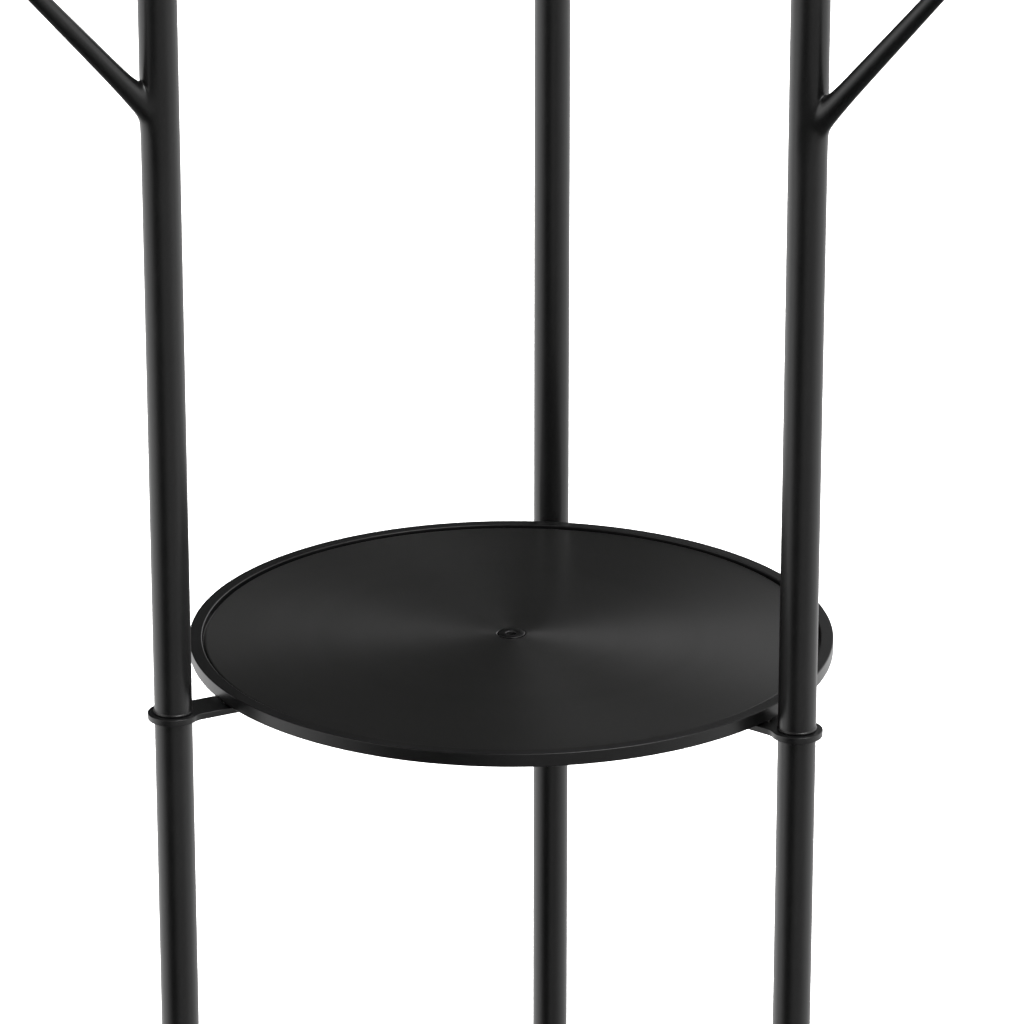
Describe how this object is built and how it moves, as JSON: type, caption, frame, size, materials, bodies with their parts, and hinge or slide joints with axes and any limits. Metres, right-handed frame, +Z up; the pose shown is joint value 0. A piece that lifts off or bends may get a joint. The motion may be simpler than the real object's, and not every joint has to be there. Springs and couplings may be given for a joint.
{
  "type": "standing coat rack",
  "caption": "Free-standing coat rack: upright round posts on a round base, with a round tray held between them and short upward branches for hanging coats.",
  "frame": {"origin": "on the floor, on the tray's axis, at the underside of the middle floor pad", "axes": "+Z up along the posts; the rack's front, where two posts stand to the left and right, faces -Y; +X to the right seen from the front"},
  "size_m": [0.5683, 0.5763, 1.75],
  "materials": {
    "black_steel": "satin black powder coat",
    "black_disc": "turned face, blackened and lacquered, satin with a fine circular grain",
    "screw_black": "black oxide, satin",
    "bare_steel": "zinc-plated, satin",
    "felt": "pressed felt"
  },
  "bodies": {
    "root": {"base_plate": "black_steel", "centre_pad": "felt", "floor_pad_1": "felt", "floor_pad_2": "felt", "floor_pad_3": "felt", "floor_pad_4": "felt", "floor_pad_5": "felt", "floor_pad_6": "felt", "tray_bracket": "black_steel", "tray_rim": "black_steel", "tray_disc": "black_disc", "tray_spacer": "bare_steel", "tray_washer": "bare_steel", "tray_nut": "bare_steel", "tray_screw": "screw_black", "back_base_screw": "bare_steel", "back_lower_post": "black_steel", "back_foot_insert": "bare_steel", "back_lower_insert": "bare_steel", "back_stud": "bare_steel", "back_upper_insert": "bare_steel", "back_upper_post": "black_steel", "back_post_cap": "black_steel", "back_branch_1": "black_steel", "back_branch_2": "black_steel", "back_branch_3": "black_steel", "back_rim_screw": "bare_steel", "left_base_screw": "bare_steel", "left_lower_post": "black_steel", "left_foot_insert": "bare_steel", "left_lower_insert": "bare_steel", "left_stud": "bare_steel", "left_upper_insert": "bare_steel", "left_upper_post": "black_steel", "left_post_cap": "black_steel", "left_branch_1": "black_steel", "left_branch_2": "black_steel", "left_branch_3": "black_steel", "left_rim_screw": "bare_steel", "right_base_screw": "bare_steel", "right_lower_post": "black_steel", "right_foot_insert": "bare_steel", "right_lower_insert": "bare_steel", "right_stud": "bare_steel", "right_upper_insert": "bare_steel", "right_upper_post": "black_steel", "right_post_cap": "black_steel", "right_branch_1": "black_steel", "right_branch_2": "black_steel", "right_branch_3": "black_steel", "right_rim_screw": "bare_steel"}
  },
  "joints": []
}
